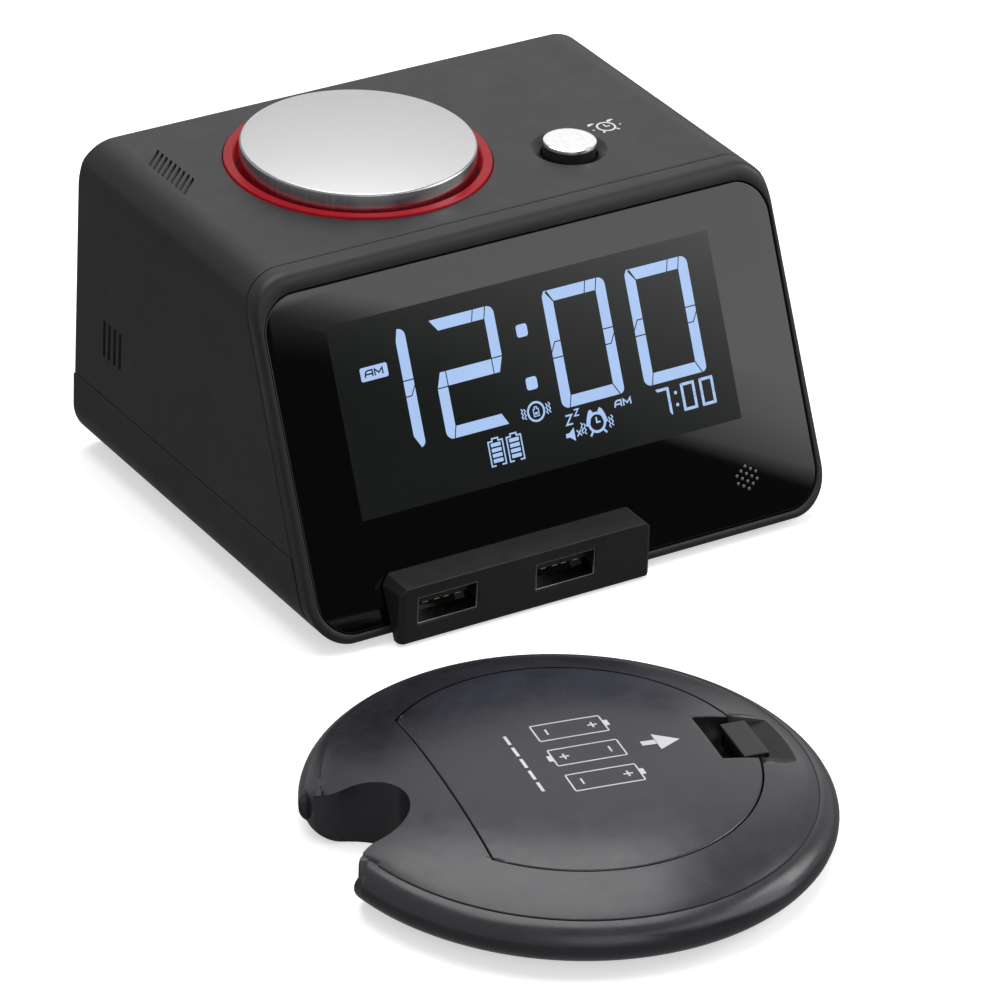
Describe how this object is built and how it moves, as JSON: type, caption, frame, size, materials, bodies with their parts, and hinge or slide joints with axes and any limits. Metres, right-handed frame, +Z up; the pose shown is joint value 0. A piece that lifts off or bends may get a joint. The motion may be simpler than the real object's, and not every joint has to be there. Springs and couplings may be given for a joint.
{
  "type": "bed shaker alarm clock",
  "caption": "Wedge-shaped bedside alarm clock with a sloping display, turn-and-press knob, charging sockets and a separate round battery shaker for under the pillow.",
  "frame": {"origin": "middle of the footprint of the clock and shaker together, on the table", "axes": "+Z up, the display faces -Y, +X is to the right seen from the front"},
  "size_m": [0.1518, 0.21, 0.0684],
  "materials": {
    "case_black": "fine satin texture",
    "lens_black": "polished",
    "lcd_glass": "behind a dark window",
    "light_guide": "translucent white",
    "board_green": "solder mask",
    "board_blue": "solder mask",
    "screw_steel": "plated",
    "knob_silver": "satin top, polished side",
    "shaft_steel": "turned",
    "contact_brass": "bright",
    "can_metal": "plated",
    "ring_red": "translucent red, lit",
    "led_white": "moulded",
    "button_chrome": "polished",
    "inner_black": "moulded",
    "socket_metal": "bright nickel plate",
    "foot_rubber": "moulded",
    "shaker_shell": "satin with a faint metallic sheen",
    "cell_wrap": "printed film, plain",
    "spring_steel": "nickel plate",
    "weight_metal": "sintered tungsten, as cast"
  },
  "bodies": {
    "clock": {"upper_housing": "case_black", "base_cover": "case_black", "front_bezel": "case_black", "front_lens": "lens_black", "lcd_panel": "lcd_glass", "lcd_backlight": "light_guide", "main_board": "board_green", "board_screws": "screw_steel", "encoder_body": "can_metal", "ring_light": "ring_red", "ring_leds": "led_white", "knob_well": "case_black", "knob_board": "board_green", "button_switch": "inner_black", "usb_ledge": "case_black", "usb_shell_left": "socket_metal", "usb_shell_right": "socket_metal", "usb_tongue_left": "inner_black", "usb_tongue_right": "inner_black", "usb_board": "board_green", "speaker_basket": "can_metal", "speaker_cone": "inner_black", "speaker_magnet": "can_metal", "dc_jack": "inner_black", "dc_pin": "contact_brass", "radio_module": "board_blue", "coin_cell": "can_metal", "cell_holder": "inner_black", "rubber_feet": "foot_rubber", "case_screws": "screw_steel"},
    "encoder_spindle": {"encoder_rotor": "contact_brass"},
    "knob": {"knob_cap": "knob_silver", "encoder_shaft": "shaft_steel"},
    "alarm_button": {"button_cap": "button_chrome", "button_plunger": "inner_black"},
    "backup_cell_door": {"cell_door": "case_black"},
    "shaker": {"shaker_base": "shaker_shell", "shaker_cover": "shaker_shell", "battery_tray": "inner_black", "aaa_cells": "cell_wrap", "contact_springs": "spring_steel", "contact_plates": "spring_steel", "shaker_board": "board_green", "motor_can": "can_metal", "motor_cradle": "inner_black", "shaker_screws": "screw_steel"},
    "battery_lid": {"battery_door": "shaker_shell"},
    "lid_latch": {"door_latch": "shaker_shell"},
    "vibration_rotor": {"motor_shaft": "shaft_steel", "eccentric_weight": "weight_metal"}
  },
  "joints": [
    {"name": "knob_turn", "type": "hinge", "parent": "clock", "child": "encoder_spindle", "pos_m": [0.00623, 0.0755, 0.06], "axis": [0, 0, 1], "continuous": true},
    {"name": "knob_press", "type": "slide", "parent": "encoder_spindle", "child": "knob", "axis": [0, 0, -1], "range_m": [0, 0.0012], "stiffness_N_per_m": 600, "springref_m": -0.002},
    {"name": "alarm_button_press", "type": "slide", "parent": "clock", "child": "alarm_button", "axis": [0, 0, -1], "range_m": [0, 0.001], "stiffness_N_per_m": 400, "springref_m": -0.002},
    {"name": "cell_door_turn", "type": "hinge", "parent": "clock", "child": "backup_cell_door", "pos_m": [0.04483, 0.07, 0.0023], "axis": [0, 0, 1], "range_deg": [0, 45]},
    {"name": "shaker_lift", "type": "slide", "parent": "clock", "child": "shaker", "axis": [0, 0, 1], "range_m": [0, 0.08]},
    {"name": "battery_door_open", "type": "hinge", "parent": "shaker", "child": "battery_lid", "pos_m": [-0.05223, -0.05292, 0.01448], "axis": [-0.1908, -0.9816, 0], "range_deg": [0, 75]},
    {"name": "latch_flex", "type": "hinge", "parent": "battery_lid", "child": "lid_latch", "pos_m": [0.00313, -0.06368, 0.0075], "axis": [-0.1908, -0.9816, 0], "range_deg": [0, 9], "stiffness_Nm_per_rad": 0.5, "springref_deg": -5.73},
    {"name": "motor_spin", "type": "hinge", "parent": "shaker", "child": "vibration_rotor", "pos_m": [-0.02247, -0.0256, 0.006], "axis": [0.9816, -0.1908, 0], "continuous": true}
  ]
}
